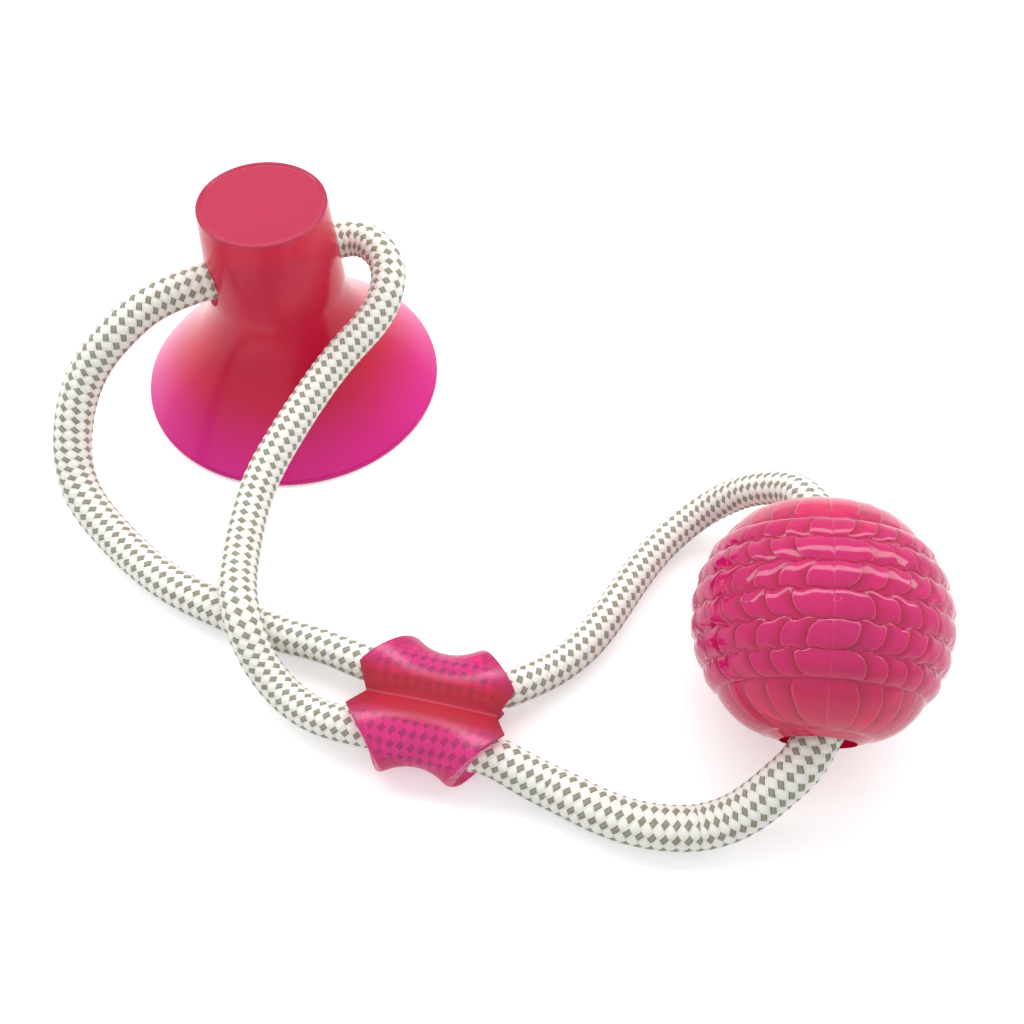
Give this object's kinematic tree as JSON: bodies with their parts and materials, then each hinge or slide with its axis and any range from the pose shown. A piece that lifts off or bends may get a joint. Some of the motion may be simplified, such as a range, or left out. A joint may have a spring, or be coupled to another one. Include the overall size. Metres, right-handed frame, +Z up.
{
  "type": "suction cup ball dog toy",
  "caption": "Dog tug and chew toy: a bell-shaped suction cup for the floor, a braided rope loop through its neck, a soft twin sleeve and a hollow scaly chew ball.",
  "frame": {"origin": "on the floor, at the middle of the footprint of the cup, the sleeve and the ball together", "axes": "+Z up from the floor; +X from the suction cup towards the ball, along the longest side; +Y from the sleeve's side towards the cup's side"},
  "size_m": [0.2637, 0.2218, 0.076],
  "materials": {
    "cup_rubber": "smooth, glossy, translucent pink thermoplastic rubber",
    "ball_rubber": "glossy, translucent pink thermoplastic rubber",
    "sleeve_rubber": "satin, translucent magenta thermoplastic rubber",
    "ferrule_steel": "plain zinc-plated steel",
    "rope_braid": "round cream braid with grey-olive fleck yarns"
  },
  "bodies": {
    "cup": {"suction_cup": "cup_rubber"},
    "rope_loop": {"rope_in_neck": "rope_braid", "rope_in_sleeve_far": "rope_braid", "rope_in_sleeve_near": "rope_braid", "rope_left_stretch": "rope_braid", "rope_right_stretch": "rope_braid", "rope_far_stretch": "rope_braid", "rope_near_stretch": "rope_braid", "crimp_ferrule": "ferrule_steel"},
    "sleeve": {"twin_sleeve": "sleeve_rubber"},
    "ball": {"chew_ball": "ball_rubber"}
  },
  "joints": [
    {"name": "loop_swing", "type": "hinge", "parent": "cup", "child": "rope_loop", "pos_m": [-0.0737, 0.0523, 0.053], "axis": [-0.8829, -0.4695, 0], "range_deg": [0, 120]},
    {"name": "sleeve_slide", "type": "slide", "parent": "rope_loop", "child": "sleeve", "axis": [0.9816, -0.1908, 0], "range_m": [-0.003, 0.003]},
    {"name": "ball_spin", "type": "hinge", "parent": "rope_loop", "child": "ball", "pos_m": [0.0892, -0.0654, 0.035], "axis": [-0.075, -0.9534, -0.2924], "continuous": true}
  ]
}
